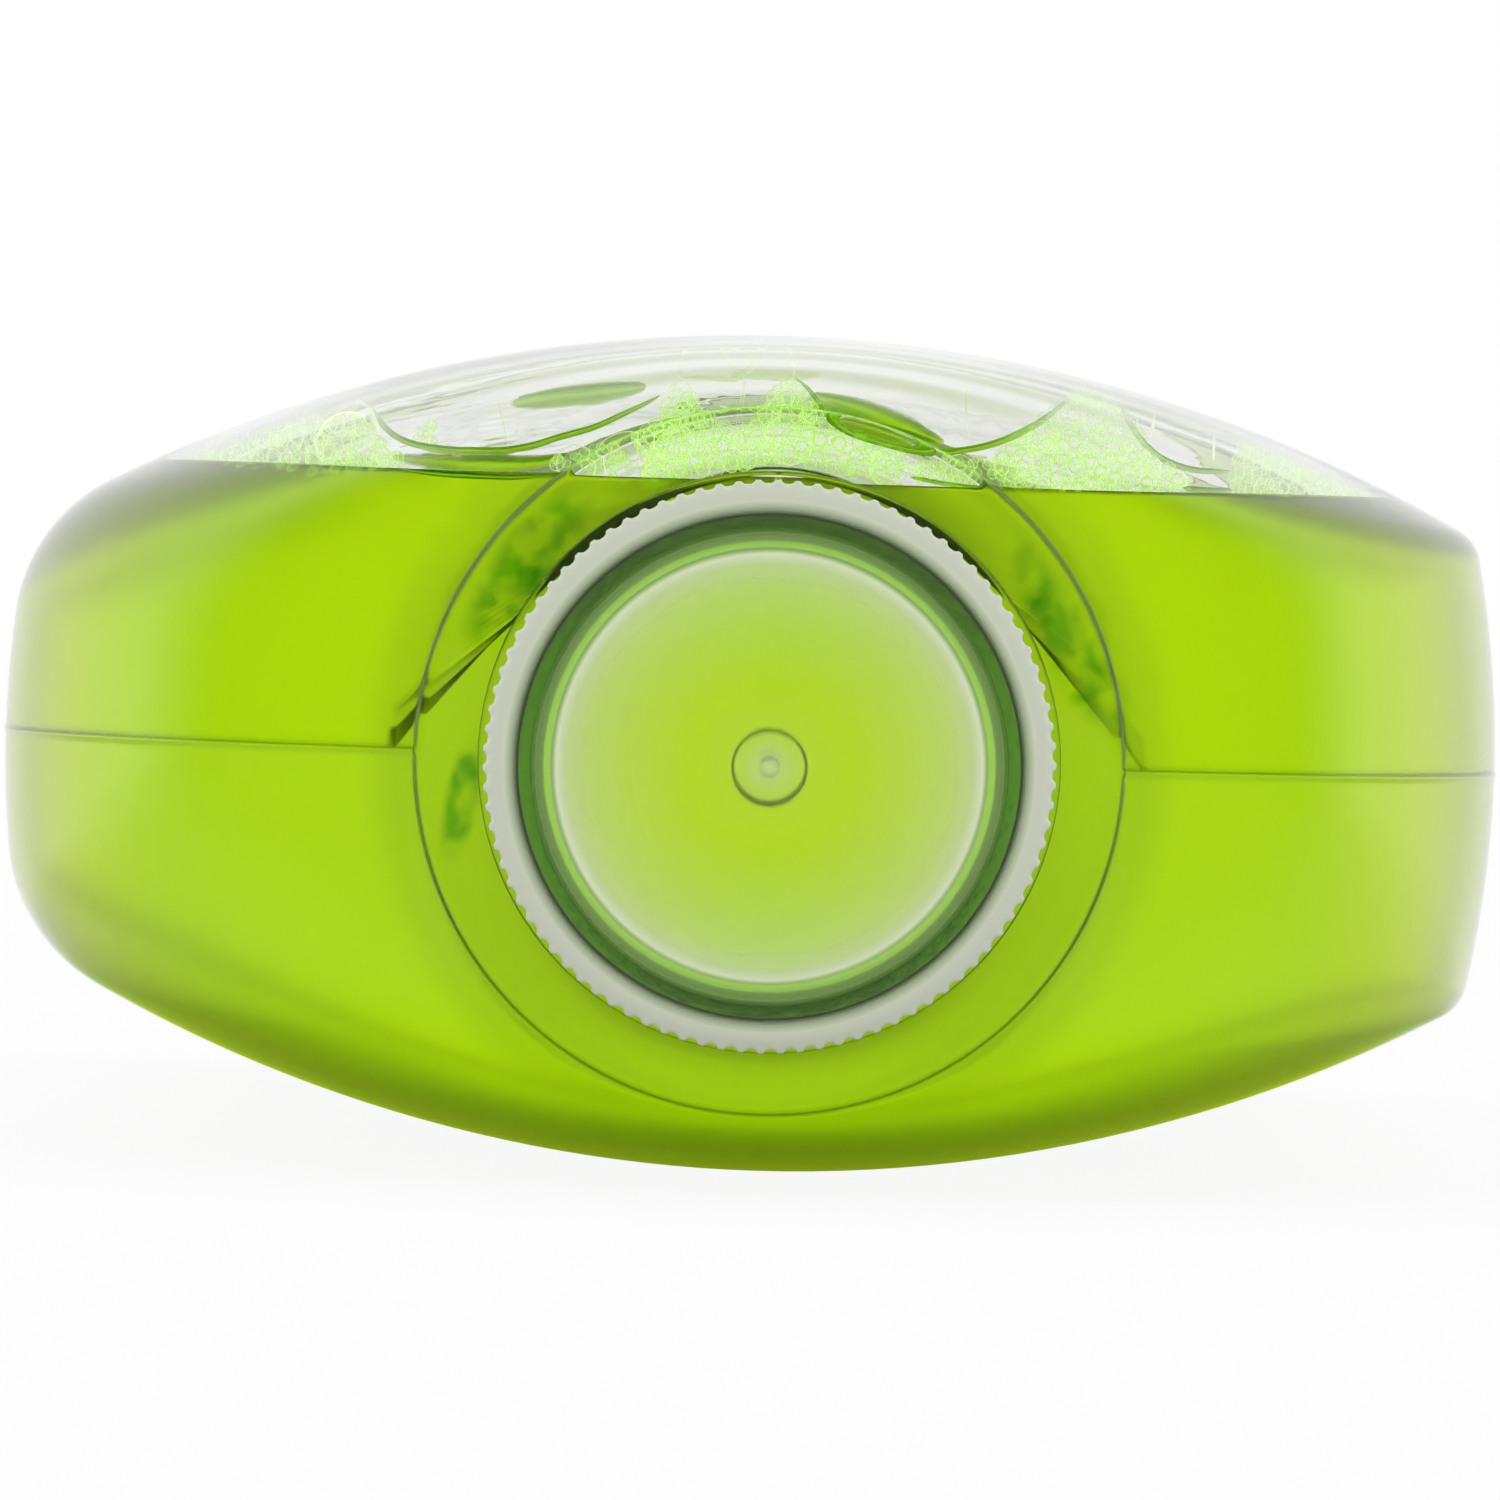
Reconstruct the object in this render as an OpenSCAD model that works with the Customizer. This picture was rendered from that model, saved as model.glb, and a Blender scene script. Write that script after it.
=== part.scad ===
// A one litre floor cleaner bottle lying on its broad face, seen from its cap.
// X runs across the bottle, Y along it with the cap towards -Y, and Z is up.
// The origin is on the surface it lies on, under the middle of the whole bottle.

/* [Body] */
// Length of the body, from the foot of the neck to the base
body_l = 216; // [180:1:260]
// Reach of the rounded front edge, from the neck's axis
front_w = 57.6; // [50:0.2:66]
// Reach of the flatter back edge, from the neck's axis
back_w = 54.8; // [48:0.2:62]
// Thickness of the body across its two broad faces
body_d = 62.7; // [54:0.1:70]
// Radius of the two broad faces
face_r = 108; // [95:1:140]
// Radius of the two narrow edges
edge_r = 80; // [60:1:120]
// Rounding between the front edge and the faces
front_round = 13; // [6:0.5:16]
// Rounding between the back edge and the faces
back_round = 3; // [2:0.5:8]
// Wall of the blown body
wall_t = 0.6; // [0.5:0.1:1.2]

/* [Shoulder] */
// Radius of the round collar at the foot of the neck
collar_r = 25.5; // [22:0.5:28]
// Height of the collar above the shoulder
collar_h = 2.4; // [1:0.2:4]
// Length of the shoulder
shoulder_l = 50; // [36:1:60]

/* [Label recess] */
// Depth of the bare recess meant for a label
recess_d = 0.7; // [0.3:0.1:1.5]
// Length of the recess
recess_l = 118; // [80:1:125]
// Length of the step at each end of the recess
recess_step = 2; // [1:0.5:4]

/* [Base] */
// Rounding of the heel
heel_r = 9; // [5:0.5:12]
// Width of the flat ring that the bottle stands on
foot_w = 3.5; // [2:0.5:6]
// Depth of the push-up in the base
pushup_d = 9; // [4:0.5:14]
// Radius of the thick spot in the middle of the base
gate_r = 6.8; // [5:0.2:10]
// Height of the thick spot
gate_h = 0.8; // [0.6:0.1:1.5]
// Radius of the stub left by the preform, in the middle of the thick spot
stub_r = 3.2; // [2:0.2:4.5]

/* [Neck] */
// Radius of the neck's bore
bore_r = 16.35; // [15:0.05:16.6]
// Wall of the neck
neck_t = 1.6; // [1.4:0.1:1.8]
// Height of the neck, from the collar to the mouth
neck_h = 22; // [20:0.5:28]
// Reach of the support ring beyond the neck
ring_w = 2.9; // [2:0.1:4]
// Thickness of the support ring
ring_t = 1.8; // [1.2:0.1:3]
// Height of the support ring above the collar
ring_z = 1.6; // [1:0.1:3]

/* [Cap] */
// Radius of the cap over its ribs
cap_r = 20.1; // [19.8:0.05:21]
// Thickness of the skirt under the ribs
skirt_t = 1.15; // [0.8:0.05:1.3]
// Thickness of the top panel
panel_t = 1.3; // [1.2:0.1:2]
// Number of grip ribs
ribs = 90; // [60:1:120]
// Height of a rib
rib_h = 0.25; // [0.15:0.05:0.4]
// Rounding of the cap's top edge
edge_round = 1.2; // [0.6:0.1:1.3]
// Wall of the plug that seals the bore
plug_t = 1.05; // [0.8:0.05:1.5]
// Depth of the plug below the mouth
plug_h = 4; // [2:0.5:6]
// Clearance between the plug and the bore
plug_fit = 0.08; // [0.05:0.01:0.1]
// Gap between the cap's skirt and the support ring
skirt_gap = 0.6; // [0.3:0.1:1.5]
// Radius of the moulding dimple in the middle of the cap
dimple_r = 2.6; // [1.5:0.1:4]
// Depth of the dimple
dimple_d = 0.4; // [0.2:0.1:0.6]
// Radius of the moulding point that stands in the dimple
point_r = 0.7; // [0.4:0.1:1]

/* [Contents] */
// Height of the air gap, from the liquid's level to the top of the body as it lies
air_h = 10.5; // [9.5:0.1:12.5]
// Gap left between the liquid and what holds it
fill_gap = 0.1; // [0.05:0.01:0.3]
// Radius of the largest bubble in the foam
bubble_r = 3.2; // [2:0.1:3.6]

/* [Hidden] */

pet = "#e4f2d8";
lime = "#a6e11a";
natural = "#eef6df";
froth = "#d9f2b8";

$fn = 96;
seat_gap = 0.02;                           // between the mouth and the panel that closes it
neck_r = bore_r + neck_t;
total_l = body_l + neck_h + seat_gap + panel_t;
axis_x = (front_w - back_w) / 2;
axis_z = body_d / 2;
collar_y = total_l / 2 - body_l;           // the collar's top, at the foot of the neck

// Points round a quarter of the section, on its edge, its rounding and its face
edge_n = 3;
round_n = 4;
face_n = 8;
// Rings along the bottle, on the collar's lip, the shoulder, the heel and the push-up
lip_n = 3;
shoulder_n = 12;
heel_n = 4;
pushup_n = 6;

lip_r = collar_h / 2;
root_r = bore_r + (neck_t + wall_t) / 2;   // the blown wall starts in the middle of the neck's
root_l = 1.2;
corner_least = 1.5;                        // rounding that a corner keeps on the heel and the foot
recess_y = shoulder_l + (body_l - shoulder_l - heel_r - recess_l) / 2;
skirt_r = cap_r - rib_h - skirt_t;
skirt_z = ring_z + ring_t + skirt_gap;
cap_z = neck_h + seat_gap + panel_t;
panel_z = neck_h + seat_gap;
plug_r = bore_r - plug_fit;
fill_depth = wall_t + fill_gap;            // of the liquid's own skin under the outer one
fill_z = body_d - air_h;                   // the liquid's level

function unit(a) = [cos(a), sin(a)];
function turn(v) = atan2(v.y, v.x);
function reversed(list) = [for (i = [len(list) - 1 : -1 : 0]) list[i]];

// Centre of the circle of radius r that touches circles a and b from inside, on the left of the
// way from a to b. A circle is [centre, radius].
function touching(a, b, r) =
    let (ra = a[1] - r, rb = b[1] - r, gap = norm(b[0] - a[0]), way = (b[0] - a[0]) / gap,
         along = (ra * ra - rb * rb + gap * gap) / (2 * gap))
    a[0] + along * way + sqrt(ra * ra - along * along) * [-way.y, way.x];

// A quarter of the section, set in by inset, from the middle of its edge up to the middle of its
// face. Each entry is [outward normal, point].
function quarter(reach, rounding, inset) =
    let (r = max(rounding - inset, min(rounding, corner_least)),
         face = [[0, axis_z - face_r], face_r - inset], edge = [[reach - edge_r, 0], edge_r - inset],
         corner = touching(edge, face, r),
         low = turn(corner - edge[0]), high = turn(corner - face[0]))
    concat(
        [for (i = [0 : edge_n - 1]) let (n = unit(low * (i + 0.5) / edge_n))
            [n, edge[0] + edge[1] * n]],
        [for (i = [0 : round_n]) let (n = unit(low + (high - low) * i / round_n))
            [n, corner + r * n]],
        [for (i = [0 : face_n - 1]) let (n = unit(high + (90 - high) * (i + 0.5) / face_n))
            [n, face[0] + face[1] * n]]);

function mirrored(list, sx, sy) =
    [for (q = list) [for (v = q) [sx * v.x, sy * v.y]]];

// The whole section as [normal, point], anticlockwise from the middle of the back edge
function section(inset) =
    let (back = quarter(back_w, back_round, inset), front = quarter(front_w, front_round, inset))
    concat(back, reversed(mirrored(front, -1, 1)),
           mirrored(front, -1, -1), reversed(mirrored(back, 1, -1)));

// A ring is [y from the collar's top, its points as [normal, point]]
function round_ring(y, r) = [y, [for (q = full) [q[0], r * q[0]]]];
function blend_ring(y, share) =
    [y, [for (q = full) [q[0], (1 - share) * collar_r * q[0] + share * q[1]]]];
function inset_ring(y, inset) = [y, section(inset)];
function scaled_ring(y, k) = [y, [for (q = foot) [q[0], k * q[1]]]];

full = section(0);
foot = section(heel_r + foot_w);
around = len(full);

// Every ring from the neck to the middle of the base, where the last one shrinks to a point
rings = concat(
    [round_ring(-root_l, root_r), round_ring(0, root_r)],
    [for (i = [0 : lip_n]) let (v = unit(90 * i / lip_n))
        round_ring(lip_r * (1 - v.x), collar_r - lip_r * (1 - v.y))],
    [for (i = [0 : shoulder_n]) let (v = unit(90 * i / shoulder_n))
        blend_ring(collar_h + (shoulder_l - collar_h) * (1 - v.x), v.y)],
    [for (s = [[0, 0], [recess_step, 1], [recess_l - recess_step, 1], [recess_l, 0]])
        inset_ring(recess_y + s[0], s[1] * recess_d)],
    [for (i = [0 : heel_n]) let (v = unit(90 * i / heel_n))
        inset_ring(body_l - heel_r * (1 - v.y), heel_r * (1 - v.x))],
    [for (i = [0 : pushup_n]) let (k = 1 - i / pushup_n)
        scaled_ring(body_l - pushup_d * (1 - pow(k, 3)), k)]);
hoops = len(rings) - 1;

// Outward normal of the skin between rings a and b, at point j, seen in the plane of normal n and
// the bottle's length, as [share along n, share along the length]
function facing(a, b, j, n) =
    let (v = [b[0] - a[0], (a[1][j][1] - b[1][j][1]) * n]) v / norm(v);

// Point j of ring i, on the skin that lies depth under the outer one
function skin(i, j, depth) =
    let (q = rings[i][1][j], after = facing(rings[i], rings[i + 1], j, q[0]),
         before = i == 0 ? after : facing(rings[i - 1], rings[i], j, q[0]),
         n = (before + after) / (1 + before * after), p = q[1] - depth * n[0] * q[0])
    [axis_x + p.x, collar_y + rings[i][0] - depth * n[1], axis_z + p.y];

// The points of a skin from a ring on, with the middle of the base last
function skin_points(from, depth) = concat(
    [for (i = [from : hoops - 1]) for (j = [0 : around - 1]) skin(i, j, depth)],
    [[axis_x, collar_y + rings[hoops][0] - depth, axis_z]]);

// The faces of a skin of that many rings, whose points start at entry first
function skin_faces(rows, first) = concat(
    [for (i = [0 : rows - 2]) for (j = [0 : around - 1])
        let (a = first + i * around, k = (j + 1) % around)
        [a + j, a + k, a + around + k, a + around + j]],
    [for (j = [0 : around - 1]) let (a = first + (rows - 1) * around)
        [a + j, a + (j + 1) % around, first + rows * around]]);

// The blown wall, from the foot of the neck round the base, as one closed skin
module blown_wall() {
    inner = hoops * around + 1;
    polyhedron(
        points = concat(skin_points(0, 0), skin_points(0, wall_t)),
        faces = concat(
            skin_faces(hoops, 0),
            [for (f = skin_faces(hoops, inner)) reversed(f)],
            [for (j = [0 : around - 1]) let (k = (j + 1) % around) [k, j, inner + j, inner + k]]));
}

// What would fill the blown body, from just under the collar
module body_fill() {
    polyhedron(
        points = skin_points(1, fill_depth),
        faces = concat(skin_faces(hoops - 1, 0), [[for (j = [around - 1 : -1 : 0]) j]]));
}

// Places what is turned about the neck's axis: its Z runs out of the mouth, from the collar's top
module on_neck() {
    translate([axis_x, collar_y, axis_z]) rotate([90, 0, 0]) children();
}

module tube(r_in, r_out, z, h) {
    translate([0, 0, z]) difference() {
        cylinder(r = r_out, h = h);
        translate([0, 0, -1]) cylinder(r = r_in, h = h + 2);
    }
}

module bottle() {
    base_y = collar_y + body_l - pushup_d;
    sunk = wall_t / 2;                     // how far one part of the wall runs into the next
    color(pet, 0.35) {
        blown_wall();
        on_neck() {
            tube(bore_r, neck_r, -sunk, neck_h + sunk);
            tube(bore_r + neck_t / 2, neck_r + ring_w, ring_z, ring_t);
        }
        translate([axis_x, base_y - sunk, axis_z]) rotate([-90, 0, 0]) {
            cylinder(r = gate_r, h = sunk + gate_h);
            cylinder(r = stub_r, h = sunk + 2 * gate_h);
        }
    }
}

// The cap's outline with its ribs, each a low bump with sloping sides
module ribbed_outline() {
    pitch = 360 / ribs;
    polygon([for (i = [0 : ribs - 1]) for (s = [[-0.3, 0], [-0.12, 1], [0.12, 1], [0.3, 0]])
        (cap_r - rib_h * (1 - s[1])) * unit(pitch * (i + s[0]))]);
}

module cap() {
    top_r = cap_r - rib_h - edge_round;
    below = skirt_z - 1;
    plug_z = panel_z - plug_h;
    color(natural, 0.85) on_neck() {
        difference() {
            union() {
                translate([0, 0, skirt_z])
                    linear_extrude(cap_z - edge_round - skirt_z) ribbed_outline();
                rotate_extrude() {
                    translate([0, cap_z - 2 * edge_round]) square([top_r, 2 * edge_round]);
                    translate([top_r, cap_z - edge_round]) intersection() {
                        circle(r = edge_round);
                        translate([-edge_round, -edge_round])
                            square([2 * edge_round, 2 * edge_round]);
                    }
                }
            }
            // The hollow round the neck, and the hollow inside the plug
            translate([0, 0, below]) cylinder(r = skirt_r, h = plug_z - below);
            tube(plug_r, skirt_r, below, panel_z - below);
            translate([0, 0, below]) cylinder(r = plug_r - plug_t, h = panel_z - below);
            translate([0, 0, cap_z - dimple_d]) cylinder(r = dimple_r, h = 1);
        }
        translate([0, 0, cap_z - dimple_d - panel_t / 4])
            cylinder(r = point_r, h = panel_t / 4 + dimple_d / 2);
    }
}

module cleaning_liquid() {
    room = [4 * front_w, 2 * total_l, fill_z];
    color(lime, 0.75) {
        intersection() {
            body_fill();
            translate([-room.x / 2, -room.y / 2, 0]) cube(room);
        }
        on_neck() {
            translate([0, 0, -2 * fill_depth])
                cylinder(r = bore_r - fill_gap, h = panel_z - plug_h - fill_gap + 2 * fill_depth);
            cylinder(r = plug_r - plug_t - fill_gap, h = panel_z - fill_gap);
        }
    }
}

// Bubbles on the liquid: across as a share of the front edge's reach, back from the collar's top
// as a share of the shoulder's length, and size as a share of the largest bubble
bubbles = [
    [-0.62, 0.92, 0.5], [-0.54, 1.0, 0.8], [-0.45, 1.16, 0.5], [-0.24, 0.84, 0.6],
    [-0.17, 0.94, 0.8], [-0.07, 1.08, 1], [0.03, 0.96, 1], [0.12, 1.12, 0.7],
    [0.23, 0.88, 0.6], [0.35, 1.0, 0.8], [0.43, 1.12, 1], [0.54, 0.96, 0.7],
    [0.63, 1.12, 0.5], [0, 1.8, 0.8], [-0.31, 2.08, 0.6], [0.38, 1.92, 0.7]];

module foam() {
    color(froth, 0.6) for (b = bubbles) let (r = b[2] * bubble_r)
        translate([axis_x + b[0] * front_w, collar_y + b[1] * shoulder_l, fill_z + fill_gap])
        intersection() {
            translate([0, 0, r / 4]) sphere(r = r);
            translate([-r, -r, 0]) cube(2 * r);
        }
}

bottle();
cap();
cleaning_liquid();
foam();
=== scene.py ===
"""Looks of a one litre floor cleaner bottle that lies on its broad face, seen from its screw cap.

Lengths are in millimetres, as in the part's source, until a mesh is made. X runs across the bottle,
Y along it with the cap towards -Y, and Z is up. A height h is measured out of the mouth, from the
collar at the foot of the neck, and a depth y the other way, towards the base.
"""
import math

import bmesh
import bpy
import numpy as np
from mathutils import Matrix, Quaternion, Vector


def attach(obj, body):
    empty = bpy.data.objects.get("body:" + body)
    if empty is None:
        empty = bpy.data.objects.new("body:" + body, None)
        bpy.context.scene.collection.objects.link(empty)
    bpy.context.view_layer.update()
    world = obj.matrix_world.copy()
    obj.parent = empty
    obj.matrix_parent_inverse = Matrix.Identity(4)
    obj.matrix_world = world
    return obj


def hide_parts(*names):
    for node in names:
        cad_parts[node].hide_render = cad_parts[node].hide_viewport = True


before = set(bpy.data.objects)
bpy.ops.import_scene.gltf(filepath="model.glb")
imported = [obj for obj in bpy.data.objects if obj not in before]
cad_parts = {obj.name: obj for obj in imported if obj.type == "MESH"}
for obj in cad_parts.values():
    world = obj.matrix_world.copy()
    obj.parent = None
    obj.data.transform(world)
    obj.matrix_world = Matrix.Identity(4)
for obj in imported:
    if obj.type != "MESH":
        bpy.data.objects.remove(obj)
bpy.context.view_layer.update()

# Sizes of the part's source
BODY_L, FRONT_W, BACK_W, BODY_D = 216.0, 57.6, 54.8, 62.7
FACE_R, EDGE_R, FRONT_ROUND, BACK_ROUND, CORNER_LEAST = 108.0, 80.0, 13.0, 3.0, 1.5
WALL_T, COLLAR_R, COLLAR_H, SHOULDER_L = 0.6, 25.5, 2.4, 50.0
RECESS_D, RECESS_L, RECESS_STEP = 0.7, 118.0, 2.0
HEEL_R, FOOT_W, PUSHUP_D = 9.0, 3.5, 9.0
GATE_R, GATE_H, STUB_R = 6.8, 0.8, 3.2
BORE_R, NECK_R, NECK_H = 16.35, 17.95, 22.0
RING_R, RING_T, RING_Z = 20.85, 1.8, 1.6
CAP_R, RIBS, RIB_H, SKIRT_R, SKIRT_Z = 20.1, 90, 0.25, 18.7, 4.0
PANEL_Z, CAP_Z, PLUG_R, PLUG_T, PLUG_H = 22.02, 23.32, 16.27, 1.05, 4.0
EDGE_ROUND, DIMPLE_R, DIMPLE_D, POINT_R = 1.2, 2.6, 0.4, 0.7
AIR_H, FILL_GAP = 10.5, 0.1
AXIS_X, AXIS_Z = 1.4, 31.35
COLLAR_Y = (BODY_L + CAP_Z) / 2 - BODY_L
LEVEL = BODY_D - AIR_H
RECESS_Y = SHOULDER_L + (BODY_L - SHOULDER_L - HEEL_R - RECESS_L) / 2


# The camera looks along the bottle from a little below the liquid's level
PICTURE, FOCUS = 1500, 12880.0              # the picture's side and the focal length, in its pixels
EYE, AIM, ROLL = Vector((0, -1020, 46.4)), Vector((0, -45, 31.35)), math.radians(1.8)

view = (AIM - EYE).to_track_quat("-Z", "Y") @ Quaternion((0, 0, 1), ROLL)
camera = bpy.data.objects.new("camera", bpy.data.cameras.new("camera"))
camera.data.sensor_width = 36
camera.data.lens = 36 * FOCUS / PICTURE
camera.location = EYE / 1000
camera.rotation_mode = "QUATERNION"
camera.rotation_quaternion = view
bpy.context.scene.collection.objects.link(camera)
bpy.context.scene.camera = camera


def seen_at(px, py, y):
    """The point at depth y of the row frame that the picture shows at pixel px, py: the eye plus the
    pixel's ray, stretched until it reaches that depth."""
    ray = view @ Vector(((px - PICTURE / 2) / FOCUS, (PICTURE / 2 - py) / FOCUS, -1))
    return np.array(EYE + ray * ((y - EYE.y) / ray.y))


def smooth(low, high, x):
    """Rises from 0 at low to 1 at high as 3t squared less 2t cubed."""
    t = np.clip((x - low) / (high - low), 0, 1)
    return t * t * (3 - 2 * t)


def ripple(points, wave, seed, waves=14):
    """A smooth random height for each point, about -1 to 1: a sum of sines of random directions whose
    wavelengths lie about wave, given for X, Y and Z."""
    rng = np.random.default_rng(seed)
    way = rng.normal(size=(waves, 3)) * 2.2 / np.array(wave)
    return np.sin(points @ way.T + rng.uniform(0, 2 * np.pi, waves)).sum(-1) / math.sqrt(waves)


def made(name, points, faces, material, recalculate=True):
    """A smooth shaded object from points in millimetres. Points that coincide are merged, which closes
    seams and poles, and then the faces are turned outwards."""
    mesh = bpy.data.meshes.new(name)
    mesh.from_pydata((np.asarray(points) / 1000).tolist(), [], np.asarray(faces).tolist())
    form = bmesh.new()
    form.from_mesh(mesh)
    bmesh.ops.remove_doubles(form, verts=form.verts, dist=2e-7)
    bmesh.ops.dissolve_degenerate(form, edges=form.edges, dist=1e-7)
    if recalculate:
        bmesh.ops.recalc_face_normals(form, faces=form.faces)
    form.to_mesh(mesh)
    form.free()
    mesh.polygons.foreach_set("use_smooth", np.ones(len(mesh.polygons), bool))
    mesh.materials.append(material)
    piece = bpy.data.objects.new(name, mesh)
    bpy.context.scene.collection.objects.link(piece)
    return piece


def woven(rows, columns, closed=True, first=0):
    """The quads of a grid of that many rows and columns of points, numbered row by row from first. A
    closed grid joins its last column to its first."""
    i, j = np.mgrid[0:rows - 1, 0:columns - (0 if closed else 1)]
    a, k = first + i * columns, (j + 1) % columns
    return np.stack([a + j, a + k, a + columns + k, a + columns + j], -1).reshape(-1, 4)


def lathed(profile, around=288, swell=None):
    """The grid of a profile of [radius, height h] turned about the neck's axis: a point at angle a has
    X = r cos a and Z = r sin a. swell adds to the radius by profile row and angle."""
    profile = np.array(profile, float)
    a = np.linspace(0, 2 * np.pi, around, endpoint=False)
    r = profile[:, :1] + (0 if swell is None else swell(profile, a))
    y = COLLAR_Y - np.broadcast_to(profile[:, 1:], r.shape if swell is not None else (len(profile), around))
    return np.stack([AXIS_X + r * np.cos(a), y, AXIS_Z + r * np.sin(a)], -1)


def arc(centre, radius, start, end, steps):
    """Points of a circle's arc between two angles, in degrees."""
    a = np.radians(np.linspace(start, end, steps + 1))
    return [[centre[0] + radius * c, centre[1] + radius * s] for c, s in zip(np.cos(a), np.sin(a))]


COLLAR_ROWS = 27                            # rows of the skin that the collar takes up, before the shoulder

# Section of the body: arcs for its edges, roundings and faces, each tangent to the next
EDGE_STEPS = np.array([0, .005, .010, .016, .024, .036, .07, .13, .22, .33, .45, .57, .69, .80, .90, 1])


def touching(a, ra, b, rb, r):
    """Centre of the circle of radius r that touches circles a and b from inside: where circles of radius
    ra - r and rb - r about the same centres cross, on the left of the way from a to b."""
    ra, rb, gap = ra - r, rb - r, np.linalg.norm(b - a)
    way = (b - a) / gap
    along = (ra * ra - rb * rb + gap * gap) / (2 * gap)
    return a + along * way + math.sqrt(ra * ra - along * along) * np.array([-way[1], way[0]])


def quarter(reach, rounding, inset, fine):
    """Normals and points from the middle of an edge up to the middle of a face: each point is its arc's
    centre plus the arc's radius times the normal, and insetting takes the inset off every radius."""
    r = max(rounding - inset, min(rounding, CORNER_LEAST))
    face, edge = np.array([0, AXIS_Z - FACE_R]), np.array([reach - EDGE_R, 0])
    corner = touching(edge, EDGE_R - inset, face, FACE_R - inset, r)
    low = math.atan2(*(corner - edge)[::-1])
    high = math.atan2(*(corner - face)[::-1])
    steps = np.interp(np.arange(0, 15 + 0.5 / fine, 1 / fine), np.arange(16), EDGE_STEPS)[:-1]
    turns = [low * steps, np.linspace(low, high, 16 * fine, endpoint=False),
             np.linspace(high, np.pi / 2, 24 * fine + 1)]
    centres, radii = [edge, corner, face], [EDGE_R - inset, r, FACE_R - inset]
    normals = [np.stack([np.cos(t), np.sin(t)], -1) for t in turns]
    return np.concatenate(normals), np.concatenate(
        [c + k * n for c, k, n in zip(centres, radii, normals)])


def section(inset, fine):
    """The whole section as (normals, points), from the middle of the back edge over the top: the back
    quarter, the front quarter mirrored in X, and both mirrored in Z."""
    back, front = quarter(BACK_W, BACK_ROUND, inset, fine), quarter(FRONT_W, FRONT_ROUND, inset, fine)
    return tuple(np.concatenate([b, (f * [-1, 1])[-2::-1], -f[1:], (b * [1, -1])[-2:0:-1]])
                 for b, f in zip(back, front))


def blown_rows(fine):
    """The outer skin from the collar's face to the middle of the base, as rows of points. The shoulder
    blends a circle into the section: (1 - s) collar_r n + s p with s = sin a, at depth
    collar_h + (shoulder_l - collar_h)(1 - cos a). The recess and heel are insets of the section, and
    the push-up is the foot's section times k, at depth body_l - pushup_d (1 - k cubed)."""
    normal, point = section(0, fine)
    foot = section(HEEL_R + FOOT_W, fine)[1]
    rows = []

    def row(y, p):
        p = np.array(p)
        rows.append(np.stack([AXIS_X + p[:, 0], np.broadcast_to(COLLAR_Y + y, len(p)), AXIS_Z + p[:, 1]], -1))

    lip = 0.7
    for r, h in arc((NECK_R + 0.6, 0.6), 0.6, 180, 270, 5):          # the foot of the neck
        row(-h, r * normal)
    for r in np.linspace(19.2, COLLAR_R - lip - 0.3, 7):
        row(0, r * normal)
    for r, h in arc((COLLAR_R - lip, -lip), lip, 90, 0, 8):
        row(-h, r * normal)
    for a in np.pi / 2 * np.concatenate([[0, .004, .009, .015, .022, .03, .045], np.linspace(.065, 1, 44)]):
        share = math.sin(a)
        p = (1 - share) * COLLAR_R * normal + share * point
        out = np.linalg.norm(p, axis=1) - COLLAR_R
        row(COLLAR_H + (SHOULDER_L - COLLAR_H) * (1 - math.cos(a)) - (COLLAR_H - lip) * np.exp(-out / 2.2), p)
    for y in np.linspace(SHOULDER_L + 1.5, RECESS_Y - 1.5, 12):
        row(y, point)
    for y0, way in ((RECESS_Y, 1), (RECESS_Y + RECESS_L - RECESS_STEP, -1)):
        for t in np.linspace(0, 1, 9):
            deep = smooth(0, 1, t if way > 0 else 1 - t) * RECESS_D
            row(y0 + RECESS_STEP * t, section(deep, fine)[1])
        if way > 0:
            for y in np.linspace(y0 + 3.5, y0 + RECESS_L - 3.5, 28):
                row(y, section(RECESS_D, fine)[1])
    row(BODY_L - HEEL_R - 4, point)
    for a in np.radians(np.linspace(0, 90, 13)):
        row(BODY_L - HEEL_R * (1 - math.sin(a)), section(HEEL_R * (1 - math.cos(a)), fine)[1])
    row(BODY_L, section(HEEL_R + FOOT_W / 2, fine)[1])
    for k in np.concatenate([[1, .98, .95, .91, .86, .8, .73, .66, .6, .55, .5],
                             np.linspace(.46, .02, 23), [0]]):
        p = k * foot
        r = np.linalg.norm(p, axis=1)
        gate = GATE_H * (1 - smooth(GATE_R - 0.5, GATE_R + 0.5, r)) \
            + GATE_H * (1 - smooth(STUB_R - 0.5, STUB_R + 0.5, r))
        row(BODY_L - PUSHUP_D * (1 - k ** 3) + gate, p)
    return np.array(rows)


def facing(grid):
    """Outward normals of a closed grid: the cross product of its slopes along and across the rows."""
    along = np.gradient(grid, axis=0)
    across = np.roll(grid, -1, 1) - np.roll(grid, 1, 1)
    n = np.cross(across, along)
    n[-1] = [0, 1, 0]                                                # the middle of the base
    n /= np.maximum(np.linalg.norm(n, axis=-1, keepdims=True), 1e-12)
    outer = (grid - [AXIS_X, grid[..., 1].mean(), AXIS_Z])
    return n * np.sign((n * outer).sum(-1)[10].mean())


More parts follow.
